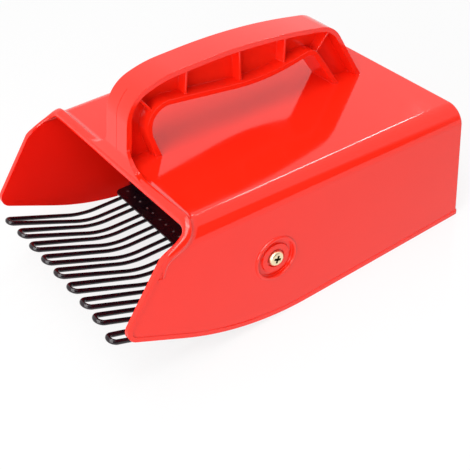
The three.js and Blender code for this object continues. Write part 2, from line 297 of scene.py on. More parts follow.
def turned(name: str, profile: list[Point], place: Matrix, steps: int = 64) -> Piece:
    """Spins a closed profile into a ring or disc.

    Args:
        name: Name of the piece.
        profile: Pairs of radius and height, in order.
        place: Where the axis stands; the profile's height runs along its Z.
        steps: Number of pieces round the axis.

    Returns:
        The solid.
    """
    piece = primitive(name, bpy.ops.mesh.primitive_circle_add, vertices=len(profile), radius=MM,
                      fill_type="NOTHING")
    for vertex, (radius, height) in zip(piece.data.vertices, profile):
        vertex.co = Vector((radius, 0, height)) * MM
    with editing(piece):
        bpy.ops.mesh.select_all(action="SELECT")
        bpy.ops.mesh.spin(steps=steps, angle=math.tau, center=(0, 0, 0), axis=(0, 0, 1))
        bpy.ops.mesh.select_all(action="SELECT")
        bpy.ops.mesh.remove_doubles(threshold=MM / 200)
        bpy.ops.mesh.dissolve_degenerate(threshold=MM / 200)
        bpy.ops.mesh.delete_loose()
        face_outwards()
    piece.data.transform(place)
    return piece


def rod(name: str, radius: float, low: float, high: float, place: Matrix, steps: int = 32) -> Piece:
    """Spins a plain round bar that runs from low to high along its axis."""
    return turned(name, [(0, low), (radius, low), (radius, high), (0, high)], place, steps)


def combine(piece: Piece, tool: Piece, join: Join) -> None:
    """Joins or cuts a piece with a tool, which is used up.

    Args:
        piece: The piece that stays.
        tool: The solid that is added, cut away or kept in common.
        join: What is done.
    """
    pick(piece)
    bpy.ops.object.modifier_add(type="BOOLEAN")
    modifier = piece.modifiers[-1]
    modifier.object = tool
    modifier.operation = join.value
    modifier.solver = "EXACT"
    bpy.ops.object.modifier_apply(modifier=modifier.name)
    bpy.data.objects.remove(tool, do_unlink=True)


def tidy_mesh(piece: Piece) -> None:
    """Merges doubled points and dissolves the seams that booleans leave on flat faces.

    Args:
        piece: The piece.
    """
    with editing(piece):
        bpy.ops.mesh.select_all(action="SELECT")
        bpy.ops.mesh.remove_doubles(threshold=MM / 100)
        bpy.ops.mesh.dissolve_degenerate(threshold=MM / 100)
        bpy.ops.mesh.dissolve_limited(angle_limit=math.radians(0.15))


def bevel_sharp(piece: Piece, width: float, segments: int = 2, angle: float = 32.0,
                test: Callable[..., bool] | None = None) -> None:
    """Rounds the sharp edges of a piece.

    Args:
        piece: The piece.
        width: Width of the rounding.
        segments: Number of strips in it.
        angle: Sharpest edge that stays as it is, in degrees.
        test: Says whether an edge is wanted.
    """
    limit = math.radians(angle)

    def sharp(edge: Edge) -> bool:
        """Tells a sharp edge that passes the test.

        Args:
            edge: An edge of the mesh.

        Returns:
            Whether the edge is rounded.
        """
        if len(edge.link_faces) != 2 or edge.calc_face_angle(0) < limit:
            return False
        return test is None or test(edge)

    with editing(piece, "EDGE"):
        if mark(piece, "edges", sharp):
            bevel_marked(width, segments, miter_outer="ARC")


def smooth(piece: Piece, angle: float = 40.0) -> None:
    """Shades a piece smooth with its flat faces kept flat.

    Args:
        piece: The finished piece.
        angle: Edges sharper than this stay sharp, in degrees.
    """
    pick(piece)
    bpy.ops.object.shade_smooth_by_angle(angle=math.radians(angle))
    bpy.ops.object.modifier_add(type="WEIGHTED_NORMAL")
    modifier = piece.modifiers[-1]
    modifier.keep_sharp = True
    modifier.weight = 50
    bpy.ops.object.modifier_apply(modifier=modifier.name)


class Nodes:
    """Node tree of a material or world, with short calls to add and link nodes."""

    def __init__(self, owner: bpy.types.Material | bpy.types.World) -> None:
        """Opens the tree, which holds only its output and shader.

        Args:
            owner: The material or world that it belongs to.
        """
        owner.use_nodes = True
        self.owner = owner
        self.tree = owner.node_tree
        self.shader = self.tree.nodes.get("Principled BSDF")

    def add(self, kind: str, **values: object) -> bpy.types.Node:
        """Adds a node and sets its sockets and properties by name.

        Args:
            kind: The node's type.
            **values: Properties in lower case, and sockets with a leading capital.

        Returns:
            The node.
        """
        node = self.tree.nodes.new(kind)
        for key, value in values.items():
            if key[0].isupper():
                node.inputs[key.replace("_", " ")].default_value = value
            else:
                setattr(node, key, value)
        return node

    def link(self, source: Socket, target: Socket) -> None:
        """Links two sockets."""
        self.tree.links.new(source, target)

    def noise(self, scale: float, detail: float = 2.0) -> Socket:
        """Gives noise that is fixed to the piece.

        Args:
            scale: Waves in each metre.
            detail: Number of finer layers.

        Returns:
            The noise's value socket.
        """
        place = self.add("ShaderNodeTexCoord")
        node = self.add("ShaderNodeTexNoise", Scale=scale, Detail=detail)
        self.link(place.outputs["Object"], node.inputs["Vector"])
        return node.outputs["Fac"]

    def spread(self, source: Socket, low: float, high: float,
               start: float = 0.3, end: float = 0.7) -> Socket:
        """Maps a value on to a range.

        Args:
            source: The value.
            low: Result at start.
            high: Result at end.
            start: Value where the range begins.
            end: Value where the range ends.

        Returns:
            The mapped value.
        """
        node = self.add("ShaderNodeMapRange", From_Min=start, From_Max=end, To_Min=low, To_Max=high)
        self.link(source, node.inputs["Value"])
        return node.outputs["Result"]

    def blend(self, share: Socket, first: Colour, second: Colour) -> Socket:
        """Mixes two colours by a share.

        Args:
            share: How much of the second colour shows.
            first: Colour at 0.
            second: Colour at 1.

        Returns:
            The mixed colour.
        """
        node = self.add("ShaderNodeMix", data_type="RGBA")
        node.inputs["A"].default_value = (*first, 1)
        node.inputs["B"].default_value = (*second, 1)
        self.link(share, node.inputs[0])
        return next(out for out in node.outputs if out.type == "RGBA")

    def paint(self, colour: Socket, rough: Socket) -> None:
        """Links the shader's colour and roughness."""
        self.link(colour, self.shader.inputs["Base Color"])
        self.link(rough, self.shader.inputs["Roughness"])

    def bump(self, *layers: tuple[Socket, float]) -> None:
        """Stacks height layers on the shader's normal.

        Args:
            *layers: Pairs of a height socket and its depth in millimetres.
        """
        last = None
        for height, depth in layers:
            node = self.add("ShaderNodeBump", Strength=1.0, Distance=depth * MM)
            self.link(height, node.inputs["Height"])
            if last:
                self.link(last.outputs["Normal"], node.inputs["Normal"])
            last = node
        self.link(last.outputs["Normal"], self.shader.inputs["Normal"])


@dataclass(frozen=True)
class GlossPlastic:
    """Moulded plastic with a high gloss and the faint waves of a cooled wall."""

    name: str
    colour: Colour = (0.88, 0.019, 0.006)
    deep: Colour = (0.84, 0.016, 0.005)
    gloss: float = 0.06
    shine: float = 0.5
    wave_depth: float = 0.02
    grain_depth: float = 0.002

    def material(self) -> bpy.types.Material:
        """Builds the material.

        Returns:
            The material.
        """
        nodes = Nodes(bpy.data.materials.new(self.name))
        nodes.paint(nodes.blend(nodes.noise(24), self.colour, self.deep),
                    nodes.spread(nodes.noise(90, 3), self.gloss, self.gloss * 1.8))
        nodes.shader.inputs["IOR"].default_value = 1.5
        nodes.shader.inputs["Specular IOR Level"].default_value = self.shine
        nodes.bump((nodes.noise(17, 1), self.wave_depth), (nodes.noise(900, 2), self.grain_depth))
        return nodes.owner


@dataclass(frozen=True)
class BlackCoat:
    """Baked black coating on steel, with pale specks of dust and a slight orange peel."""

    name: str
    colour: Colour = (0.010, 0.004, 0.007)
    speck: Colour = (0.035, 0.025, 0.03)
    rough: float = 0.28
    peel_depth: float = 0.02

    def material(self) -> bpy.types.Material:
        """Builds the material.

        Returns:
            The material.
        """
        nodes = Nodes(bpy.data.materials.new(self.name))
        specks = nodes.spread(nodes.noise(1500, 1), 0, 1, 0.72, 0.8)
        nodes.paint(nodes.blend(specks, self.colour, self.speck),
                    nodes.spread(nodes.noise(220, 3), self.rough * 0.8, self.rough * 1.3))
        nodes.bump((nodes.noise(700, 2), self.peel_depth))
        return nodes.owner


@dataclass(frozen=True)
class ZincPlate:
    """Zinc plating with soft cloudy variation and fine turning marks."""

    name: str
    colour: Colour
    cloud: Colour
    rough: float
    mark_depth: float = 0.004

    def material(self) -> bpy.types.Material:
        """Builds the material.

        Returns:
            The material.
        """
        nodes = Nodes(bpy.data.materials.new(self.name))
        nodes.shader.inputs["Metallic"].default_value = 1.0
        nodes.paint(nodes.blend(nodes.noise(500, 3), self.colour, self.cloud),
                    nodes.spread(nodes.noise(1200, 2), self.rough * 0.7, self.rough * 1.4))
        nodes.bump((nodes.noise(3000, 2), self.mark_depth))
        return nodes.owner


RED = GlossPlastic("red_moulding")
# Painted shade: the inside copy has a deeper red and weaker shine, standing in for the pale reflections
# that the inside faces don't catch.
RED_INSIDE_SHADE = GlossPlastic("red_inside_shade", (0.88, 0.009, 0.003), (0.85, 0.008, 0.003),
                          gloss=0.3, shine=0.07)
PAN_COAT = BlackCoat("pan_coating")
WIRE_COAT = BlackCoat("wire_coating", rough=0.14, peel_depth=0.03)
YELLOW_ZINC = ZincPlate("yellow_plating", (0.95, 0.80, 0.54), (0.90, 0.74, 0.47), 0.36)
# Painted shade: a near-black copy of the zinc for the faces inside the cross recess, where shade falls.
RECESS_SHADE = ZincPlate("recess_painted_shade", (0.05, 0.04, 0.012), (0.03, 0.025, 0.01), 0.6)
WELD_STEEL = ZincPlate("weld_steel", (0.33, 0.32, 0.32), (0.2, 0.2, 0.2), 0.5)
BRIGHT_ZINC = ZincPlate("bright_plating", (0.68, 0.69, 0.71), (0.55, 0.56, 0.58), 0.3)


def dress(piece: Piece, material: bpy.types.Material, slot: Slot, *stands_for: str) -> None:
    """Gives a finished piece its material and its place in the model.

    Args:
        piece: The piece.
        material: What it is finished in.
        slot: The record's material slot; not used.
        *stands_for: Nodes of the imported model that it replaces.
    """
    if not piece.data.materials:
        piece.data.materials.append(material)
    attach(piece, BODY)
    if stands_for:
        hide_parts(*stands_for)
    triangles = sum(len(face.vertices) - 2 for face in piece.data.polygons)
    LOG.info("%s: %d triangles", piece.name, triangles)


@dataclass
class Box:
    """The tapered box that the shell, its rim and the pan's sides all follow."""

    length: float = 163.8
    mouth_half: float = 65.0
    rear_half: float = 68.7
    front_height: float = 76.1
    rear_height: float = 66.8
    draft_share: float = 0.0277
    wall: float = 2.5
    top_round: float = 9.8
    inner_round: float = 4.4
    rear_round: float = 1.3
    tip_reach: float = 41.7
    boss_length: float = 42.7
    boss_height: float = 35.9

    def top_at(self, y: float) -> float:
        """Height of the roof at a length."""
        return self.front_height - (self.front_height - self.rear_height) * y / self.length

    def half_at(self, y: float, z: float) -> float:
        """Half width at a length and height."""
        spread = (self.rear_half - self.mouth_half) / self.length
        return self.mouth_half + spread * y + self.draft_share * (self.top_at(y) - z)

    def block(self, name: str, gap: float, roof_gap: float, rear: float, low: float,
              rear_round: float = 0.0, eave_round: float = 0.0) -> Piece:
        """Makes a solid that follows the box, larger or smaller by a gap.

        Args:
            name: Name of the piece.
            gap: How far the sides lie inside the box.
            roof_gap: How far the roof lies inside the box.
            rear: Where it ends along Y.
            low: Height of its underside.
            rear_round: Rounding of the rear edges.
            eave_round: Rounding of the long upper edges, or zero for the box's own.

        Returns:
            The solid.
        """
        front = -self.tip_reach - OVERRUN
        piece = primitive(name, bpy.ops.mesh.primitive_cube_add, size=2)
        for vertex in piece.data.vertices:
            side, back, up = vertex.co
            y = rear if back > 0 else front
            z = self.top_at(y) - roof_gap if up > 0 else low
            vertex.co = spot(side * (self.half_at(y, z) - gap), y, z)
        middle = spot(0, 0, (low + self.rear_height) / 2).z

        def eave(edge: Edge) -> bool:
            """Tells the two long upper edges."""
            a, b = (vertex.co for vertex in edge.verts)
            return min(a.z, b.z) > middle and abs(a.x + b.x) > abs(a.x)

        def corner(edge: Edge) -> bool:
            """Tells the sharp edges round the rear face, apart from its foot.

            Args:
                edge: An edge of the mesh.

            Returns:
                Whether it is one of them.
            """
            a, b = (vertex.co for vertex in edge.verts)
            at_rear = min(a.y, b.y) > spot(0, rear, 0).y - MM / 100
            return at_rear and max(a.z, b.z) > (low + 1) * MM

        with editing(piece, "EDGE"):
            mark(piece, "edges", eave)
            bevel_marked(eave_round or self.top_round - gap, 16)
        if rear_round:
            with editing(piece, "EDGE"):
                mark(piece, "edges", corner)
                bevel_marked(rear_round, 4)
        return piece

    def depth_at(self, x: float, y: float, z: float) -> float:
        """Depth of a point under the box's side, roof or rounded upper edge.

        Args:
            x: Place across the width.
            y: Place behind the lip's front face.
            z: Height above the ground.

        Returns:
            The depth, above zero inside the box.
        """
        side, roof = self.half_at(y, z) - abs(x), self.top_at(y) - z
        radius = self.top_round
        if max(side, roof) < radius:
            return radius - math.hypot(radius - side, radius - roof)
        return min(side, roof)

    def wall_frame(self, side: Side, inwards: float = 0.0) -> Matrix:
        """Frame on a side wall at the boss, whose Z points out of the wall.

        Args:
            side: Which wall.
            inwards: How far behind the wall's outer face it lies.

        Returns:
            The frame, in metres.
        """
        slope = (self.front_height - self.rear_height) / self.length
        spread = (self.rear_half - self.mouth_half) / self.length
        normal = Vector((side.value, self.draft_share * slope - spread, self.draft_share)).normalized()
        y, z = self.boss_length, self.boss_height
        place = spot(side.value * self.half_at(y, z), y, z) - normal * inwards * MM
        return Matrix.Translation(place) @ normal.to_track_quat("Z", "Y").to_matrix().to_4x4()


@dataclass
class Lip:
    """Rolled lip that runs over the mouth's upper edge and fades into both cheeks."""

    box: Box
    drop: float = 2.6
    shoulder: tuple[float, float] = (-15.6, 67.1)
    end: tuple[float, float] = (-17.3, 58.0)
    corner_round: float = 9.0
    shoulder_round: float = 10.0
    spacing: float = 1.1
    section: tuple[tuple[float, float], ...] = (
        (-0.1, -2.42), (-0.45, -1.95), (-0.55, -1.2), (-0.35, -0.2), (0.1, 0.6), (0.8, 1.25),
        (1.7, 1.7), (2.6, 1.93), (3.1, 2.0), (3.4, 1.92), (3.7, 1.6), (4.1, 1.12), (4.7, 0.66),
        (5.4, 0.32), (6.1, 0.1), (6.8, -0.06), (6.8, -0.7), (5.0, -1.5), (2.0, -2.2))
    corner_thin: float = 0.45
    tail: float = 0.1
    shoulder_share: tuple[float, float, float] = (0.62, 0.42, 0.5)
    end_share: tuple[float, float, float] = (0.22, 0.1, -0.6)

    def wrap(self, across: float, y: float, rise: float) -> Vector:
        """Places a point of the unrolled top and sides on the box.

        Args:
            across: Distance from the middle, measured round the upper edge.
            y: Place behind the lip's front face.
            rise: Height above the surface.

        Returns:
            The point in metres.
        """
        box = self.box
        radius, side = box.top_round, math.copysign(1, across)
        low = box.top_at(y) - radius
        middle = box.half_at(y, low) - radius
        turn = (abs(across) - middle) / radius
        if turn <= 0:
            return spot(across, y, low + radius + rise)
        if turn < math.pi / 2:
            if rise < 0:
                rise *= 1 - self.corner_thin * math.sin(2 * turn)
            return spot(side * (middle + (radius + rise) * math.sin(turn)), y,
                        low + (radius + rise) * math.cos(turn))
        z = low - (turn - math.pi / 2) * radius
        return spot(side * (box.half_at(y, z) + rise), y, z)

    def unroll(self, y: float, z: float) -> float:
        """Distance round the upper edge to a height on the side.

        Args:
            y: Place behind the lip's front face.
            z: Height above the ground.

        Returns:
            The distance from the middle of the roof.
        """
        radius = self.box.top_round
        low = self.box.top_at(y) - radius
        middle = self.box.half_at(y, low) - radius
        if z >= low:
            return middle + radius * math.acos((z - low) / radius)
        return middle + radius * math.pi / 2 + low - z

    def path(self) -> list[Vector]:
        """Front edge of the lip on the unrolled surface, from cheek to cheek.

        Returns:
            Points whose X is the distance round the edge and whose Y is the length.
        """
        (shoulder_y, shoulder_z), (end_y, end_z) = self.shoulder, self.end
        half = [
            Corner(self.unroll(0, self.box.front_height - self.drop), 0, self.corner_round),
            Corner(self.unroll(shoulder_y, shoulder_z), shoulder_y, self.shoulder_round),
            Corner(self.unroll(end_y, end_z), end_y),
        ]
        corners = [Corner(-corner.a, corner.b, corner.radius) for corner in half[::-1]] + half
        rough = [Vector(point) for point in rounded(corners, closed=False)]
        points = [rough[0]]
        for before, after in zip(rough, rough[1:]):
            pieces = max(1, round((after - before).length / self.spacing))
            points += [before.lerp(after, k / pieces) for k in range(1, pieces + 1)]
        return points

    def shares(self, across: float) -> tuple[float, float, float]:
        """How much of its full size the section has at a place round the edge.

        Args:
            across: Distance from the middle, measured round the upper edge.

        Returns:
            Its share of the width, of the height and of the front's bulge.
        """
        start = self.unroll(0, self.box.front_height - self.drop / 5)
        middle, end = self.unroll(*self.shoulder), self.unroll(*self.end)
        place, full = abs(across), (1.0, 1.0, 1.0)
        if place < start:
            return full
        if place < middle:
            first, last = full, self.shoulder_share
            share = (place - start) / (middle - start)
        else:
            first, last = self.shoulder_share, self.end_share
            share = min(1.0, (place - middle) / (end - middle))
        return tuple(a + (b - a) * share for a, b in zip(first, last))

    def make(self) -> Piece:
        """Makes the lip as one closed band.

        Returns:
            The lip.
        """
        path, section = self.path(), self.section + self.section[:1]
        count = len(section)
        lip = primitive("rolled_lip", bpy.ops.mesh.primitive_grid_add, x_subdivisions=count - 1,
                        y_subdivisions=len(path) - 1, size=1)
        for j, here in enumerate(path):
            before, after = path[max(j - 1, 0)], path[min(j + 1, len(path) - 1)]
            way = (after - before).normalized()
            wide, high, bulge = self.shares(here.x)
            for k, (inwards, rise) in enumerate(section):
                place = here + Vector((-way.y, way.x)) * inwards * (wide if inwards > 0 else bulge)
                lip.data.vertices[j * count + k].co = self.wrap(
                    place.x, place.y, rise * high if rise > -self.tail else rise)
        with editing(lip):
            bpy.ops.mesh.select_all(action="SELECT")
            bpy.ops.mesh.remove_doubles(threshold=MM / 200)
            bpy.ops.mesh.fill_holes(sides=0)
            face_outwards()
        return lip


@dataclass
class Boss:
    """Ring boss round a side screw: raised ring, trough, collar and sink."""

    ring: float = 12.0
    ring_width: float = 1.6
    ring_proud: float = 0.9
    trough: float = 1.15
    collar: float = 7.8
    sink: float = 4.8
    sink_depth: float = 1.2
    hole: float = 2.3
    edge: float = 0.35

    def profile(self, root: float) -> list[Point]:
        """Rounded section of the boss, from the hole to the ring's outer side.

        Args:
            root: Depth at which it is set into the wall.

        Returns:
            Pairs of radius and height.
        """
        inner = self.ring - self.ring_width
        edge = self.edge
        corners = [
            Corner(self.ring, -root),
            Corner(self.ring, self.ring_proud, edge * 2),
            Corner(inner, self.ring_proud, edge * 2),
            Corner(inner, -self.trough, edge),
            Corner(self.collar, -self.trough, edge),
            Corner(self.collar, 0, edge),
            Corner(self.sink, 0, edge),
            Corner(self.sink, -self.sink_depth, edge / 2),
            Corner(self.hole / 2, -self.sink_depth),
            Corner(self.hole / 2, -root),
        ]
        return rounded(corners, step=18)


@dataclass
class Bow:
    """Bow handle: two flanges joined by a web, with ribs in its pockets."""

    width: float = 18.4
    flange: float = 2.7
    web: float = 3.0
    foot_front: float = 1.5
    lean: float = 6.5
    height: float = 115.5
    front_drop: float = 5.3
    front_round: float = 18.0
    crown_start: float = 27.8
    crown_start_round: float = 60.0
    crown_end: float = 81.2
    crown_end_drop: float = 1.0
    crown_end_round: float = 312.0
    rear: float = 130.0
    rear_drop: float = 12.5
    rear_round: float = 18.0
    foot_rear: float = 148.6
    front_foot_depth: float = 20.5
    waist_depth: float = 16.7
    waist_drop: float = 26.5
    waist_round: float = 13.4
    front_depth: float = 12.8
    front_grip_drop: float = 8.7
    front_grip_round: float = 9.7
    middle_grip: float = 84.6
    middle_grip_drop: float = 25.5
    middle_grip_round: float = 117.0
    rear_depth: float = 14.9
    rear_grip_drop: float = 10.1
    rear_grip_round: float = 5.0
    rear_foot_depth: float = 17.9
    rib: float = 1.3
    rib_setback: float = 2.0
    rib_reach: float = 13.0
    ribs: tuple[tuple[float, float, float], ...] = (
        (18.1, 11.7, -32), (41, 9.5, 10), (71.9, 13.1, 3), (99.3, 15.2, 7), (123.6, 20.3, 44))
    sweep_round: float = 10.0
    sweep_stretch: float = 1.9
    sweep_reach: float = 21.0
    sweep_thick: float = 1.7
    bury: float = 0.9
    skin: float = 0.06
    toe_height: float = 5.0
    toe_ledge: float = 0.6
    toe_depth: float = 2.4
    toe_round: float = 14.0
    seam: float = 0.26
    seam_depth: float = 0.2
    seam_start: float = 33.0

    def outer(self, box: Box) -> list[Corner]:
        """Outer corners, anticlockwise from the front foot.

        Args:
            box: The shell's box.

        Returns:
            The corners, in length and height.
        """
        foot = box.wall / 2
        return [
            Corner(self.foot_front, box.front_height - foot),
            Corner(self.foot_rear, box.top_at(self.foot_rear) - foot),
            Corner(self.rear, self.height - self.rear_drop, self.rear_round),
            Corner(self.crown_end, self.height - self.crown_end_drop, self.crown_end_round),
            Corner(self.crown_start, self.height, self.crown_start_round),
            Corner(self.foot_front + self.lean, self.height - self.front_drop, self.front_round),
        ]

    def opening(self, box: Box) -> list[Corner]:
        """Corners of the finger opening, anticlockwise from its front foot.

        Args:
            box: The shell's box.

        Returns:
            The corners, in length and height.
        """
        front = self.foot_front + self.front_foot_depth
        rear = self.foot_rear - self.rear_foot_depth
        return [
            Corner(front, box.top_at(front) - box.wall),
            Corner(rear, box.top_at(rear) - box.wall),
            Corner(self.rear - self.rear_depth, self.height - self.rear_drop - self.rear_grip_drop,
                   self.rear_grip_round),
            Corner(self.middle_grip, self.height - self.crown_end_drop - self.middle_grip_drop,
                   self.middle_grip_round),
            Corner(self.foot_front + self.lean + self.front_depth,
                   self.height - self.front_drop - self.front_grip_drop, self.front_grip_round),
            Corner(self.foot_front + self.waist_depth, self.height - self.waist_drop, self.waist_round),
        ]

    def moved(self, corners: list[Corner], inwards: float, foot: float = -OVERRUN) -> list[Point]:
        """Rounded outline whose edges lie further in, apart from the one at its foot."""
        return rounded(inset(corners, [foot] + [inwards] * 5))

    def build(self, box: Box) -> Piece:
        """Makes the bow: block, pockets, ribs and opening.

        Args:
            box: The shell's box.

        Returns:
            The bow.
        """
        half = self.width / 2
        outer = self.outer(box)
        opening = self.opening(box)
        flange = self.flange
        pocket, grip_rim = self.moved(outer, flange), self.moved(opening, -flange)
        rib_space, rib_rim = self.moved(outer, flange / 2, 0), self.moved(opening, -flange / 2)
        bow = slab("bow_handle", rounded(outer), -half, half)
        wide = half + OVERRUN
        combine(bow, slab("finger_opening", rounded(opening), -wide, wide), Join.CUT)
        for low, high in ((self.web / 2, wide), (-wide, -self.web / 2)):
            hollow = slab("pocket", pocket, low, high)
            combine(hollow, slab("grip_rim", grip_rim, low - OVERRUN, high + OVERRUN), Join.CUT)
            combine(bow, hollow, Join.CUT)
        for rib in self.make_ribs():
            combine(rib, slab("rib_space", rib_space, -half, half), Join.KEEP)
            combine(rib, slab("rib_rim", rib_rim, -half, half), Join.CUT)
            combine(bow, rib, Join.ADD)
        return bow

    def make_ribs(self) -> Iterator[Piece]:
        """Makes the thin plates that cross the pockets.

        Returns:
            The plates, one at a time.
        """
        half = self.width / 2 - self.rib_setback
        for place, drop, lean in self.ribs:
            turn = math.radians(lean)
            along = Vector((math.sin(turn), math.cos(turn))) * self.rib_reach
            side = Vector((math.cos(turn), -math.sin(turn))) * self.rib / 2
            middle = Vector((place, self.height - drop))
            ends = [middle - along - side, middle - along + side,
                    middle + along + side, middle + along - side]
            yield slab("rib", [tuple(end) for end in ends], -half, half)

    def make_foot(self, box: Box, rise: float) -> Piece:
        """Makes the flare where the front leg's face runs down and out into the lip.

        Args:
            box: The shell's box.
            rise: Height of the lip above the roof.

        Returns:
            The thin flared plate, leaning with the leg.
        """
        half = self.width / 2 - self.skin
        foot = box.front_height - box.wall / 2
        lip = box.front_height + rise
        base = lip - self.bury
        top = base + self.sweep_round + box.wall
        lean = self.lean / (self.height - self.front_drop - foot)
        high = lip + self.toe_height
        front, thick = self.foot_front + self.skin, self.sweep_thick
        profile = [
            Corner(front + thick, lip - self.toe_depth),
            Corner(front + lean * (top - foot) + thick, top),
            Corner(front + lean * (top - foot), top),
            Corner(front + lean * (high - foot), high, self.toe_round),
            Corner(self.toe_ledge, base),
            Corner(self.toe_ledge * 2, lip - self.toe_depth),
        ]
        reach = half + self.sweep_round * self.sweep_stretch
        plate = slab("leg_foot", rounded(profile)[::-1], -reach, reach)
        flare = [
            Corner(self.sweep_round + OVERRUN, base - OVERRUN),
            Corner(self.sweep_round + OVERRUN, base),
            Corner(0, base, self.sweep_round),
            Corner(0, top + OVERRUN),
        ]
        right = [(half + x * self.sweep_stretch, z) for x, z in rounded(flare, closed=False)]
        both = right + [(-x, z) for x, z in right[::-1]]
        places = [spot(x, -OVERRUN, z) for x, z in both]
        combine(plate, outline("flare", places, Vector((0, (self.width + OVERRUN) * MM, 0))), Join.KEEP)
        return plate

    def make_seam(self, box: Box) -> Piece:
        """Makes the cutter for the parting line down the front leg's face.

        Args:
            box: The shell's box.

        Returns:
            The cutter.
        """
        outer = self.outer(box)
        keep = slab("under_seam", self.moved(outer, self.seam_depth), -OVERRUN, OVERRUN)
        half = self.seam / 2
        seam = slab("parting_line", self.moved(outer, -self.seam_depth, -OVERRUN * 2), -half, half)
        combine(seam, keep, Join.CUT)
        low, high, reach = self.height - self.seam_start, self.height + OVERRUN, self.crown_start / 2
        near = [(-OVERRUN, low), (reach, low), (reach, high), (-OVERRUN, high)]
        combine(seam, slab("front_part", near, -OVERRUN, OVERRUN), Join.KEEP)
        return seam


@dataclass
class Peg:
    """Moulded pegs inside the rear wall, on which the pan's hem is located."""

    radius: float = 2.2
    spacing: float = 70.0
    height: float = 8.0
    reach: float = 3.4

    def place(self, side: Side, y: float) -> Matrix:
        """Frame at a length on a peg's axis."""
        middle = spot(side.value * self.spacing / 2, y, self.height)
        return Matrix.Translation(middle) @ Matrix.Rotation(math.pi / 2, 4, "X")


@dataclass
class Shell:
    """One-piece moulded scoop: walls, rim, bosses, bow handle and pegs."""

    box: Box
    lip: Lip
    boss: Boss
    bow: Bow
    peg: Peg
    tip_height: float = 34.5
    tip_round: float = 6.0
    belly_start: float = 21.8
    belly_round: float = 150.0
    rim_proud: float = 0.5
    lip_rise: float = 2.0
    lip_width: float = 2.5
    cheek_width: float = 2.3
    cheek_round: float = 8.0
    front_rim_width: float = 2.3
    bottom_rim_width: float = 2.5
    lip_reach: float = 7.4
    groove: float = 0.5
    groove_drop: float = 1.9
    groove_ends: tuple[float, float] = (-52.0, -13.3)
    edge_round: float = 0.3
    near: float = 1.0
    wing_zone: float = 5.0
    inside_share: float = 0.6

    def side_corners(self, rise: float) -> list[Corner]:
        """Side outline, anticlockwise from the rear foot.

        Args:
            rise: How far the top line lies above the roof.

        Returns:
            The corners.
        """
        box = self.box
        rear = box.length + OVERRUN
        return [
            Corner(rear, 0),
            Corner(rear, box.top_at(rear) + rise),
            Corner(0, box.front_height + rise),
            Corner(0, box.front_height - self.lip.drop),
            Corner(*self.lip.shoulder, self.lip.shoulder_round),
            Corner(-box.tip_reach, self.tip_height, self.tip_round),
            Corner(self.belly_start, 0, self.belly_round),
        ]

    def rim_widths(self, less: float = 0.0) -> list[float]:
        """Width of the rim along each edge of the side outline, less a given amount."""
        widths = [self.lip_width, self.cheek_width, self.front_rim_width] + [self.bottom_rim_width] * 2
        return [-OVERRUN, -OVERRUN] + [width - less for width in widths]

    def build(self) -> Piece:
        """Makes the whole moulding as one closed solid.

        Returns:
            The moulding.
        """
        box = self.box
        reach = box.rear_half + box.front_height
        shell = box.block("shell_moulding", 0, 0, box.length, -OVERRUN, box.rear_round)
        raised = self.side_corners(self.lip_rise + OVERRUN)
        behind_rim = rounded(inset(raised, self.rim_widths(self.front_rim_width / 2)))
        combine(shell, slab("side_outline", behind_rim, -reach, reach), Join.KEEP)
        combine(shell, self.make_rim(raised, reach), Join.ADD)
        inner = box.block("cavity", box.wall, box.wall, box.length - box.wall, -OVERRUN * 2,
                          box.rear_round, box.inner_round)
        combine(shell, inner, Join.CUT)
        for side in Side:
            combine(shell, self.make_peg(side), Join.ADD)
        combine(shell, self.lip.make(), Join.ADD)
        combine(shell, self.bow.build(box), Join.ADD)
        combine(shell, self.bow.make_foot(box, self.lip_rise), Join.ADD)
        for side in Side:
            self.add_boss(shell, side)
        tidy_mesh(shell)
        return shell

    def make_rim(self, raised: list[Corner], reach: float) -> Piece:
        """Makes the raised rim round the mouth and along the lower edges.

        Args:
            raised: Side outline that clears the lip.
            reach: Half width that clears the shell.

        Returns:
            The rim, still filled between its sides.
        """
        box = self.box
        proud = box.block("rim", -self.rim_proud, -self.rim_proud, box.length + self.rim_proud,
                          -OVERRUN, box.rear_round + self.rim_proud)
        band = slab("rim_band", rounded(raised), -reach, reach)
        corners = inset(raised, self.rim_widths())
        corners[3] = Corner(corners[3].a, corners[3].b, self.cheek_round)
        kept = rounded(corners)
        combine(band, slab("rim_inside", kept, -reach - OVERRUN, reach + OVERRUN), Join.CUT)
        combine(proud, band, Join.KEEP)
        tidy_mesh(proud)
        return proud

    def make_groove(self) -> Piece:
        """Makes the cutter for the slot low along the lip's front.

        Returns:
            The cutter.
        """
        low, high = self.groove_ends
        foot = self.box.front_height - self.groove_drop
        corners = [(-OVERRUN, foot), (self.groove / 4, foot),
                   (self.groove / 4, foot + self.groove), (-OVERRUN, foot + self.groove)]
        return slab("lip_slot", corners, low, high)

    def add_boss(self, shell: Piece, side: Side) -> None:
        """Sets the ring boss into a side wall.

        Args:
            shell: The shell.
            side: Which wall.
        """
        boss, wall = self.boss, self.box.wall
        place = self.box.wall_frame(side)
        seat = boss.ring - boss.edge / 2
        root = (boss.sink_depth + wall) / 2
        combine(shell, rod("boss_seat", seat, -root, OVERRUN, place, 64), Join.CUT)
        combine(shell, turned("boss", boss.profile(wall - boss.edge), place), Join.ADD)
        combine(shell, rod("screw_hole", boss.hole, -wall - OVERRUN, OVERRUN, place), Join.CUT)

    def make_peg(self, side: Side) -> Piece:
        """Makes one peg, set into the rear wall.

        Args:
            side: Which of the two pegs.

        Returns:
            The peg.
        """
        reach = self.peg.reach + self.box.wall / 2
        rear = self.box.length - self.box.wall / 2
        peg = primitive("peg", bpy.ops.mesh.primitive_cylinder_add, vertices=40,
                        radius=self.peg.radius * MM, depth=reach * MM)
        with editing(peg, "EDGE"):
            mark(peg, "edges", lambda edge: min(vertex.co.z for vertex in edge.verts) > 0)
            bevel_marked(self.peg.radius / 5, 3)
        peg.data.transform(self.peg.place(side, rear - reach / 2))
        return peg

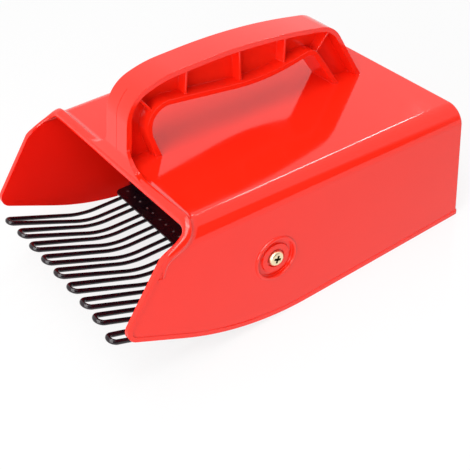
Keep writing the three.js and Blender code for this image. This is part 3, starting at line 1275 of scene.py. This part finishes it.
    def make(self) -> None:
        """Builds, rounds and dresses the moulding."""
        shell = self.build()
        combine(shell, self.bow.make_seam(self.box), Join.CUT)
        combine(shell, self.make_groove(), Join.CUT)
        bevel_sharp(shell, self.edge_round, test=self.free_edge)
        smooth(shell)
        dress(shell, RED.material(), Slot.PLASTIC, "shell")
        self.dress_inside(shell)

    def on_front_step(self, x: float, y: float, z: float) -> bool:
        """Tells a place on the step behind a wing's front rim.

        Args:
            x: Place across the width.
            y: Place behind the lip's front face.
            z: Height above the ground.

        Returns:
            Whether it lies on the step.
        """
        shoulder_y, shoulder_z = self.lip.shoulder
        outwards = Vector((self.tip_height - shoulder_z, self.box.tip_reach + shoulder_y)).normalized()
        ahead = Vector((y - shoulder_y, z - shoulder_z)).dot(outwards)
        return (abs(x) > self.box.mouth_half - self.wing_zone and z > self.tip_height
                and abs(ahead + self.front_rim_width) < self.near)

    def free_edge(self, edge: Edge) -> bool:
        """Tells an edge clear of the slots, the lip, the leg's foot and the front rim's step.

        Args:
            edge: An edge of the mesh.

        Returns:
            Whether the edge may be rounded.
        """
        low, high = self.groove_ends
        bow, lip, near = self.bow, self.box.front_height + self.lip_rise, self.near
        middle = (edge.verts[0].co + edge.verts[1].co) / 2 / MM
        x, y, z = middle.x, middle.y - LIP_Y, middle.z
        if self.on_front_step(x, y, z):
            return False
        on_seam = abs(x) < bow.seam and y < bow.foot_rear / 2
        on_slot = low - self.groove < x < high + self.groove and y < self.groove * 3
        on_foot = (abs(x) < bow.width / 2 + bow.sweep_reach + near and y < self.lip_reach
                   and z < lip + bow.sweep_round + self.box.wall + near)
        on_lip = y < self.lip_reach and z < lip
        return z < self.lip.shoulder[1] - near or not (on_seam or on_slot or on_foot or on_lip)

    def dress_inside(self, shell: Piece) -> None:
        """Gives the faces inside the scoop a duller copy of the red: its rougher finish is the
        moulding's own, and its weaker shine and deeper red are painted shade.

        Args:
            shell: The finished moulding.
        """
        # Faces deep inside the scoop take the copy with painted shade.
        shell.data.materials.append(RED_INSIDE_SHADE.material())
        box = self.box
        for face in shell.data.polygons:
            x, y, z = face.center / MM
            y -= LIP_Y
            if min(box.depth_at(x, y, z), box.length - y) > box.wall * self.inside_share:
                face.material_index = 1


@dataclass
class Tines:
    """Nine hairpin tines bent from one wire each."""

    count: int = 9
    pitch: float = 13.3
    gauge: float = 7.5
    radius: float = 1.05
    tail: float = 46.0
    slope: float = 3.5
    rise: float = 26.0
    bend: float = 0.8
    bend_round: float = 45.0
    under: float = 7.85
    pan_front: float = 25.2
    thick_share: float = 0.24
    straight_steps: int = 8
    loop_steps: int = 20
    tip_gauges: tuple[float, ...] = (4.6, 6.4, 6.2, 6.5, 6.3, 6.4, 6.5, 6.4, 5.8)
    tip_shifts: tuple[tuple[float, float], ...] = (
        (0.5, 0), (0, 0), (0, -0.3), (0, -0.2), (0, 0), (0, -0.2), (0.2, -0.6), (0.9, -0.5),
        (2.0, -2.6))

    def fall(self, length: float) -> float:
        """How far a wire's tail and the pan over it drop along a length."""
        return math.tan(math.radians(self.slope)) * length

    def route(self, i: int) -> tuple[list[Vector], list[float]]:
        """Centre line of one hairpin, and how thick its coating makes it.

        Args:
            i: Number of the hairpin, from 0.

        Returns:
            The points in metres from one tail to the other, and the thickness share at each.
        """
        x = (i - (self.count - 1) / 2) * self.pitch
        ahead, lower = self.tip_shifts[i]
        rise = math.radians(self.rise)
        tip = self.tip_gauges[i] / 2
        at_bend = self.under - self.fall(self.bend - self.pan_front)
        front = self.radius - TINE_REACH + tip * math.cos(rise) - ahead
        corners = [
            Corner(self.tail, self.under - self.fall(self.tail - self.pan_front)),
            Corner(self.bend, at_bend, self.bend_round),
            Corner(front, at_bend + math.tan(rise) * (self.bend - front) + lower),
        ]
        leg = rounded(corners, closed=False, step=2)
        y, z = leg[-1]
        steps = self.straight_steps
        leg[-1:] = [tuple(Vector(leg[-2]).lerp(leg[-1], k / steps)) for k in range(1, steps + 1)]
        out, back, loop, shares = [], [], [], []
        for a, b in leg:
            share = max(0.0, (self.bend - a) / (self.bend - front))
            half = self.gauge / 2 * (1 - share) + tip * share
            out.append(spot(x - half, a, b))
            back.append(spot(x + half, a, b))
            shares.append(1 + self.thick_share * share)
        for k in range(1, self.loop_steps):
            angle = math.pi * k / self.loop_steps
            beyond = tip * math.sin(angle)
            loop.append(spot(x - tip * math.cos(angle), y - beyond * math.cos(rise),
                             z + beyond * math.sin(rise)))
        return out + loop + back[::-1], shares + [shares[-1]] * len(loop) + shares[::-1]

    def make_wire(self, i: int) -> Piece:
        """Makes one hairpin as a round wire.

        Args:
            i: Number of the hairpin, from 0.

        Returns:
            The wire's mesh.
        """
        name = f"tine_wire_{i + 1}"
        bpy.ops.object.select_all(action="DESELECT")
        bpy.ops.curve.primitive_nurbs_path_add()
        wire = bpy.context.active_object
        wire.name = name
        points, shares = self.route(i)
        wire.data.splines.clear()
        line = wire.data.splines.new("POLY")
        line.points.add(len(points) - 1)
        for point, place, share in zip(line.points, points, shares):
            point.co = (*place, 1)
            point.radius = share
        wire.data.bevel_depth = self.radius * MM
        wire.data.bevel_resolution = 6
        wire.data.use_fill_caps = True
        bpy.ops.object.convert(target="MESH")
        piece = new_piece(name)
        with editing(piece, "EDGE"):
            bpy.ops.mesh.select_all(action="SELECT")
            bpy.ops.mesh.remove_doubles(threshold=MM / 200)
            face_outwards()
        bevel_sharp(piece, self.radius / 4, 3, 60)
        smooth(piece, 50)
        return piece

    def make(self) -> None:
        """Builds and dresses the tines."""
        material = WIRE_COAT.material()
        for i in range(self.count):
            dress(self.make_wire(i), material, Slot.WIRE, f"tine_{i + 1}")


@dataclass
class Pan:
    """Folded steel pan: floor with an upturned hem, side flanges with ears, and weld marks."""

    box: Box
    boss: Boss
    peg: Peg
    tines: Tines
    sheet: float = 1.2
    clearance: float = 0.3
    front_height: float = 9.8
    bend: float = 47.0
    bend_round: float = 12.0
    floor: float = 74.0
    floor_height: float = 2.0
    floor_round: float = 20.0
    hem_height: float = 13.0
    hem_round: float = 3.0
    side_height: float = 9.0
    ear_radius: float = 9.0
    ear_foot: float = 17.0
    ear_start: float = 37.0
    tongue_half: float = 62.0
    tongue_round: float = 3.5
    edge_round: float = 0.22
    weld_radius: float = 0.75
    weld_depth: float = 0.25
    weld_place: float = 31.0

    def floor_line(self) -> list[Corner]:
        """Centre line of the floor, from its front edge to the top of the hem.

        Returns:
            The corners, in length and height.
        """
        rear = self.box.length - self.box.wall - self.clearance - self.sheet / 2
        front, middle = self.tines.pan_front, self.floor_height + self.sheet / 2
        return [
            Corner(front, self.front_height),
            Corner(self.bend, self.front_height - self.tines.fall(self.bend - front), self.bend_round),
            Corner(self.floor, middle, self.floor_round),
            Corner(rear, middle, self.hem_round),
            Corner(rear, self.hem_height),
        ]

    def strip(self) -> list[Point]:
        """Outline of the floor's sheet, with its thickness.

        Returns:
            The points, in length and height.
        """
        line = [Vector(point) for point in rounded(self.floor_line(), closed=False)]
        upper, lower = [], []
        for i, point in enumerate(line):
            before = (point - line[i - 1]).normalized() if i else (line[1] - point).normalized()
            after = (line[i + 1] - point).normalized() if i < len(line) - 1 else before
            way = (before + after).normalized()
            out = Vector((-way.y, way.x)) * self.sheet / 2
            upper.append(tuple(point + out))
            lower.append(tuple(point - out))
        return lower + upper[::-1]

    def flange_corners(self) -> list[Corner]:
        """Outline of a side flange: low along its length, with an ear round the screw.

        Returns:
            The corners, in length and height.
        """
        first, bend, floor, rear = self.floor_line()[:4]
        boss, ear = self.box.boss_length, self.box.boss_height + self.ear_radius
        low = self.floor_height + self.side_height
        return [
            Corner(self.ear_start, first.b - self.tines.fall(self.ear_start - first.a)),
            bend,
            floor,
            Corner(rear.a, rear.b),
            Corner(rear.a, low),
            Corner(boss + self.ear_foot, low, self.ear_radius),
            Corner(boss + self.ear_radius, ear, self.ear_radius),
            Corner(boss - self.ear_radius, ear, self.ear_radius),
        ]

    def make_plan(self, reach: float) -> Piece:
        """Makes a block with the pan's plan outline: a narrower tongue, then the full width.

        Args:
            reach: Half width that clears the pan.

        Returns:
            The block.
        """
        skin = self.sheet / 8
        tongue, front, rear = self.tongue_half, self.tines.pan_front + skin, self.box.length
        start = self.ear_start - skin * 2
        corners = [
            Corner(-tongue, front, self.tongue_round),
            Corner(tongue, front, self.tongue_round),
            Corner(tongue, start, self.sheet),
            Corner(reach, start),
            Corner(reach, rear),
            Corner(-reach, rear),
            Corner(-reach, start),
            Corner(-tongue, start, self.sheet),
        ]
        places = [spot(x, y, -OVERRUN) for x, y in rounded(corners)]
        return outline("plan", places, Vector((0, 0, self.box.front_height * MM)))

    def make(self) -> None:
        """Builds and dresses the pan."""
        box, gap = self.box, self.box.wall + self.clearance
        rear = box.length - gap
        reach = box.rear_half + box.front_height
        sides = box.block("comb_pan_sheet", gap, gap, rear, -OVERRUN)
        inside = box.block("inside", gap + self.sheet, gap + self.sheet, rear + OVERRUN, -OVERRUN * 2)
        combine(sides, inside, Join.CUT)
        combine(sides, slab("flanges", rounded(self.flange_corners()), -reach, reach), Join.KEEP)
        floor = box.block("floor", gap, gap, rear, -OVERRUN)
        combine(floor, slab("sheet", self.strip(), -reach, reach), Join.KEEP)
        combine(floor, self.make_plan(reach), Join.KEEP)
        combine(sides, floor, Join.ADD)
        tidy_mesh(sides)
        self.press_welds(sides)
        for side in Side:
            ear, hem = box.wall_frame(side, gap), self.peg.place(side, rear - self.sheet / 2)
            combine(sides, rod("ear_hole", self.boss.hole, -OVERRUN, OVERRUN, ear), Join.CUT)
            hole = self.peg.radius + self.clearance
            combine(sides, rod("peg_hole", hole, -OVERRUN, OVERRUN, hem), Join.CUT)
        tidy_mesh(sides)
        bevel_sharp(sides, self.edge_round, test=self.clear_of_welds)
        smooth(sides)
        dress(sides, PAN_COAT.material(), Slot.COAT, "comb_pan")
        self.grey_welds(sides)

    def weld_spots(self) -> list[Vector]:
        """Places of the spot welds on the pan's upper face, in metres.

        Returns:
            The places.
        """
        fall = self.tines.fall(self.weld_place - self.tines.pan_front)
        top = self.front_height - fall + self.sheet / 2
        spots = []
        for i in range(self.tines.count):
            middle = (i - (self.tines.count - 1) / 2) * self.tines.pitch
            for side in Side:
                spots.append(spot(middle + side.value * self.tines.gauge / 2, self.weld_place, top))
        return spots

    def clear_of_welds(self, edge: Edge) -> bool:
        """Tells an edge that borders no weld dimple."""
        middle = (edge.verts[0].co + edge.verts[1].co) / 2
        return all((middle - place).length > self.weld_radius * MM * 1.1 for place in self.weld_spots())

    def press_welds(self, pan: Piece) -> None:
        """Presses a small spot-weld dimple over each wire.

        Args:
            pan: The pan's mesh.
        """
        for place in self.weld_spots():
            dimple = primitive("weld", bpy.ops.mesh.primitive_uv_sphere_add, segments=20,
                               ring_count=12, radius=MM)
            size = (self.weld_radius, self.weld_radius, self.weld_depth)
            dimple.data.transform(Matrix.Translation(place) @ Matrix.Diagonal((*size, 1)))
            combine(pan, dimple, Join.CUT)

    def grey_welds(self, pan: Piece) -> None:
        """Gives the dimples a light grey metal colour.

        Args:
            pan: The pan's mesh.
        """
        pan.data.materials.append(WELD_STEEL.material())
        spots = self.weld_spots()
        for face in pan.data.polygons:
            if any((face.center - place).length < self.weld_radius * MM * 0.98 for place in spots):
                face.material_index = 1


@dataclass
class Fastener:
    """Pan-head screw with a cross recess, its plain washer and its nut."""

    box: Box
    boss: Boss
    pan: Pan
    shank: float = 2.0
    length: float = 9.5
    head: float = 4.0
    head_height: float = 2.4
    dome: float = 0.62
    cross_length: float = 4.6
    cross_width: float = 1.2
    cross_depth: float = 1.5
    cross_over: float = 0.3
    cross_top: Point = (1.0, 1.1)
    cross_foot: Point = (0.45, 0.8)
    cross_reach: float = 0.56
    cross_skin: Point = (0.1, 0.12)
    cross_turn: float = -24.0
    washer: float = 4.5
    washer_height: float = 0.8
    nut: float = 4.0
    nut_height: float = 3.2
    nut_flat: float = 0.9
    nut_chamfer: float = 0.7

    def make_screw(self, side: Side) -> Piece:
        """Makes the screw with its domed head and recess.

        Args:
            side: The wall that it stands in.

        Returns:
            The screw.
        """
        name = f"side_screw_{side.name.lower()}"
        head, high = self.head, self.head_height
        corners = [
            Corner(0, -self.length),
            Corner(self.shank, -self.length, 0.3),
            Corner(self.shank, 0),
            Corner(head, 0, 0.15),
            Corner(head, high, high * self.dome),
            Corner(0, high),
        ]
        screw = turned(name, rounded(corners, step=12), Matrix.Identity(4), 48)
        for turn in (0.0, math.pi / 2):
            bar = primitive("cross", bpy.ops.mesh.primitive_cube_add, size=1)
            for vertex in bar.data.vertices:
                along, across, up = vertex.co
                long, wide = self.cross_top if up > 0 else self.cross_foot
                rise = high + self.cross_over + (up - 0.5) * (self.cross_depth + self.cross_over)
                vertex.co = Vector((along * self.cross_length * long,
                                    across * self.cross_width * wide, rise)) * MM
            bar.data.transform(Matrix.Rotation(turn, 4, "Z"))
            combine(screw, bar, Join.CUT)
        tidy_mesh(screw)
        bevel_sharp(screw, 0.1, 2, 40)
        screw.data.materials.append(YELLOW_ZINC.material())
        screw.data.materials.append(RECESS_SHADE.material())
        # The faces inside the cross recess take the near-black copy: painted shade.
        below, above = self.cross_skin
        arm, half = self.cross_length / 2 * MM, self.cross_width * self.cross_reach * MM
        for face in screw.data.polygons:
            x, y, z = face.center
            crossed = max(abs(x), abs(y)) < arm and min(abs(x), abs(y)) < half
            if crossed and (high - self.cross_depth - below) * MM < z < (high - above) * MM:
                face.material_index = 1
        screw.data.transform(self.box.wall_frame(side, self.boss.sink_depth - self.pan.clearance)
                             @ Matrix.Rotation(math.radians(self.cross_turn), 4, "Z"))
        smooth(screw)
        return screw

    def make_washer(self, side: Side) -> Piece:
        """Makes the plain washer behind the pan's ear.

        Args:
            side: The wall that it lies behind.

        Returns:
            The washer.
        """
        hole, high = self.shank + self.pan.clearance, self.washer_height
        corners = [Corner(hole, -high, 0.1), Corner(self.washer, -high, 0.2),
                   Corner(self.washer, 0, 0.2), Corner(hole, 0, 0.1)]
        inwards = self.box.wall + self.pan.clearance + self.pan.sheet + self.pan.clearance
        washer = turned(f"plain_washer_{side.name.lower()}", rounded(corners, step=30),
                        self.box.wall_frame(side, inwards), 48)
        smooth(washer)
        return washer

    def make_nut(self, side: Side) -> Piece:
        """Makes the hexagon nut with its chamfered corners.

        Args:
            side: The wall that it stands behind.

        Returns:
            The nut.
        """
        high = self.nut_height
        inwards = self.box.wall + self.pan.sheet + self.washer_height + 3 * self.pan.clearance
        nut = primitive(f"hex_nut_{side.name.lower()}", bpy.ops.mesh.primitive_cylinder_add, vertices=6,
                        radius=self.nut * MM, depth=high * MM)
        nut.data.transform(Matrix.Translation((0, 0, -high / 2 * MM)))
        edge, chamfer = self.nut * self.nut_flat, self.nut_chamfer
        drop = (self.nut - edge) * chamfer
        crown = [(0, -high), (edge, -high), (self.nut + OVERRUN, -high + drop + OVERRUN * chamfer),
                 (self.nut + OVERRUN, -drop - OVERRUN * chamfer), (edge, 0), (0, 0)]
        combine(nut, turned("crown", crown, Matrix.Identity(4), 48), Join.KEEP)
        hole = self.shank + self.pan.clearance
        combine(nut, rod("bore", hole, -high - OVERRUN, OVERRUN, Matrix.Identity(4)), Join.CUT)
        tidy_mesh(nut)
        bevel_sharp(nut, 0.12, 2, 25)
        nut.data.transform(self.box.wall_frame(side, inwards))
        smooth(nut)
        return nut

    def make(self) -> None:
        """Builds and dresses both sets of fasteners."""
        yellow, bright = YELLOW_ZINC.material(), BRIGHT_ZINC.material()
        for side in Side:
            word = side.name.lower()
            dress(self.make_screw(side), yellow, Slot.YELLOW, f"screw_{word}")
            dress(self.make_washer(side), bright, Slot.ZINC, f"washer_{word}")
            dress(self.make_nut(side), bright, Slot.ZINC, f"nut_{word}")


@dataclass
class Studio:
    """Pale floor, soft lights, world and the photograph's camera."""

    lens: float = 71.36
    azimuth: float = 57.33
    elevation: float = 40.247
    roll: float = -5.635
    distance: float = 418.3
    target: tuple[float, float, float] = (64.494, 22.668, 60.0)
    floor_size: float = 8.0
    floor_gap: float = 0.2
    floor_colour: Colour = (0.82, 0.82, 0.82)
    floor_shade: Colour = (0.80, 0.80, 0.80)
    floor_glow: float = 0.8
    world_light: float = 0.31
    dim_side: tuple[float, float, float] = (0.97, 0.0, 0.24)
    dim_edge: Point = (0.68, 0.80)
    dim_level: float = 0.1
    lamps: tuple[tuple[str, tuple[float, float, float], tuple[float, float], float], ...] = (
        ("key_box", (0.35, -0.62, 1.15), (0.9, 0.9), 11.0),
        ("top_box", (0.1, -0.1, 1.4), (0.8, 0.8), 6.0),
        ("edge_strip", (-0.51, 0.73, 1.07), (0.05, 0.9), 3.0),
        ("mouth_fill", (0.6, -1.0, 0.35), (0.8, 0.5), 7.5),
    )

    def make_camera(self) -> None:
        """Places the camera where the photograph was taken from."""
        turn, lift, roll = (math.radians(angle) for angle in (self.azimuth, self.elevation, self.roll))
        back = Vector((math.sin(turn) * math.cos(lift), -math.cos(turn) * math.cos(lift),
                       math.sin(lift)))
        right = Vector((math.cos(turn), math.sin(turn), 0))
        up = back.cross(right)
        side = right * math.cos(roll) + up * math.sin(roll)
        top = up * math.cos(roll) - right * math.sin(roll)
        bpy.ops.object.camera_add()
        camera = bpy.context.active_object
        camera.name = "photo_camera"
        camera.data.sensor_width = 36.0
        camera.data.lens = self.lens
        camera.data.clip_start = 0.01
        place = spot(*self.target) + back * self.distance * MM
        turn_to = Matrix((side, top, back)).transposed().to_4x4()
        camera.matrix_world = Matrix.Translation(place) @ turn_to
        bpy.context.scene.camera = camera

    def make_floor(self) -> None:
        """Lays a wide pale floor just under the rake."""
        floor = primitive("studio_floor", bpy.ops.mesh.primitive_plane_add, size=self.floor_size,
                          location=(0, 0, -self.floor_gap * MM))
        nodes = Nodes(bpy.data.materials.new("floor_paper"))
        grain = nodes.blend(nodes.noise(3), self.floor_colour, self.floor_shade)
        nodes.link(grain, nodes.shader.inputs["Base Color"])
        nodes.shader.inputs["Roughness"].default_value = 0.9
        nodes.shader.inputs["Specular IOR Level"].default_value = 0.1
        path = nodes.add("ShaderNodeLightPath")
        pale = nodes.spread(path.outputs["Is Camera Ray"], 0.0, self.floor_glow, 0.0, 1.0)
        share = nodes.add("ShaderNodeMath", operation="MAXIMUM")
        nodes.link(pale, share.inputs[0])
        nodes.link(path.outputs["Is Glossy Ray"], share.inputs[1])
        white = nodes.add("ShaderNodeEmission", Strength=1.0)
        mix = nodes.add("ShaderNodeMixShader")
        nodes.link(share.outputs["Value"], mix.inputs["Fac"])
        nodes.link(nodes.shader.outputs["BSDF"], mix.inputs[1])
        nodes.link(white.outputs["Emission"], mix.inputs[2])
        nodes.link(mix.outputs["Shader"], nodes.tree.nodes["Material Output"].inputs["Surface"])
        floor.data.materials.append(nodes.owner)

    def hang_lamp(self, name: str, place: tuple[float, float, float], size: tuple[float, float],
                  power: float) -> None:
        """Hangs a soft lamp that looks at the rake.

        Args:
            name: Name of the lamp.
            place: Where it hangs, in metres.
            size: Its width and length.
            power: Its power in watts.
        """
        bpy.ops.object.light_add(type="AREA", location=place)
        lamp = bpy.context.active_object
        lamp.name = name
        lamp.data.shape = "RECTANGLE"
        lamp.data.size, lamp.data.size_y = size
        lamp.data.energy = power
        lamp.rotation_mode = "QUATERNION"
        lamp.rotation_quaternion = Vector(place).to_track_quat("Z", "Y")

    def light_world(self) -> None:
        """Lights the world white, with one dim side that only reflections show."""
        world = bpy.data.worlds.new("studio")
        bpy.context.scene.world = world
        nodes = Nodes(world)
        link, (start, end) = nodes.link, self.dim_edge
        shade = nodes.tree.nodes["Background"]
        shade.inputs["Color"].default_value = (1, 1, 1, 1)
        path = nodes.add("ShaderNodeLightPath")
        way = nodes.add("ShaderNodeTexCoord")
        aim = nodes.add("ShaderNodeVectorMath", operation="DOT_PRODUCT")
        aim.inputs[1].default_value = self.dim_side
        link(way.outputs["Generated"], aim.inputs[0])
        dim = nodes.add("ShaderNodeMapRange", interpolation_type="SMOOTHSTEP", From_Min=start,
                        From_Max=end, To_Min=1.0, To_Max=self.dim_level)
        link(aim.outputs["Value"], dim.inputs["Value"])
        soft = nodes.add("ShaderNodeMix", A=self.world_light)
        link(path.outputs["Is Glossy Ray"], soft.inputs["Factor"])
        link(dim.outputs["Result"], soft.inputs["B"])
        seen = nodes.add("ShaderNodeMix", B=1.0)
        link(path.outputs["Is Camera Ray"], seen.inputs["Factor"])
        link(soft.outputs["Result"], seen.inputs["A"])
        link(seen.outputs["Result"], shade.inputs["Strength"])

    def make(self) -> None:
        """Sets up everything round the rake."""
        self.make_camera()
        self.make_floor()
        self.light_world()
        for lamp in self.lamps:
            self.hang_lamp(*lamp)
        bpy.context.scene.view_settings.view_transform = "Standard"


def main() -> None:
    """Builds the rake's pieces in order."""
    logging.basicConfig(level=logging.INFO, format="%(message)s")
    Studio().make()
    box, boss, peg, tines = Box(), Boss(), Peg(), Tines()
    Shell(box, Lip(box), boss, Bow(), peg).make()
    pan = Pan(box, boss, peg, tines)
    pan.make()
    tines.make()
    Fastener(box, boss, pan).make()


if __name__ == "__main__":
    main()
